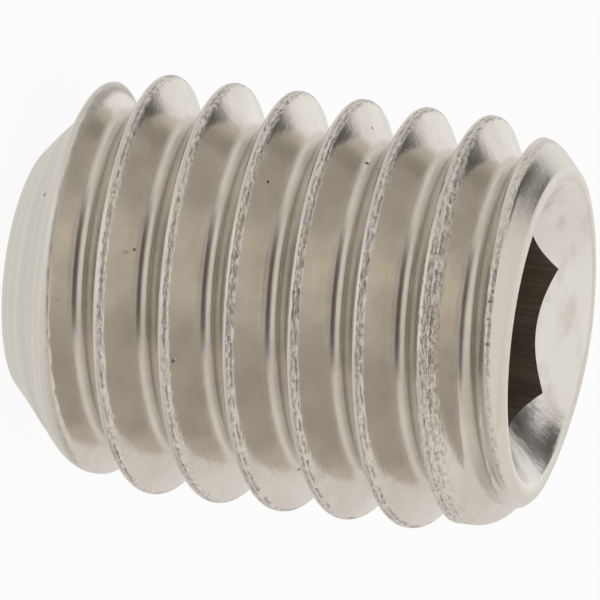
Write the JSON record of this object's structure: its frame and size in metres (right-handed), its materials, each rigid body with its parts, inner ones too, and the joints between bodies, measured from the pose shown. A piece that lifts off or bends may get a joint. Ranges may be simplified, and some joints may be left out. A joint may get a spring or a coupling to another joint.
{
  "type": "socket set screw",
  "caption": "Headless set screw with a rolled metric thread over its whole length, a hex socket in one end and a coned cup point on the other.",
  "frame": {"origin": "on the screw's axis, in the plane of the cup point's rim on which it stands", "axes": "+Z along the screw's axis, from the cup point up to the hex socket; the raised side of the socket's rim faces -Y"},
  "size_m": [0.0078, 0.0078, 0.01],
  "materials": {
    "steel": "bare stainless, rolled thread with rough crest seams"
  },
  "bodies": {
    "root": {"set_screw": "steel"}
  },
  "joints": []
}
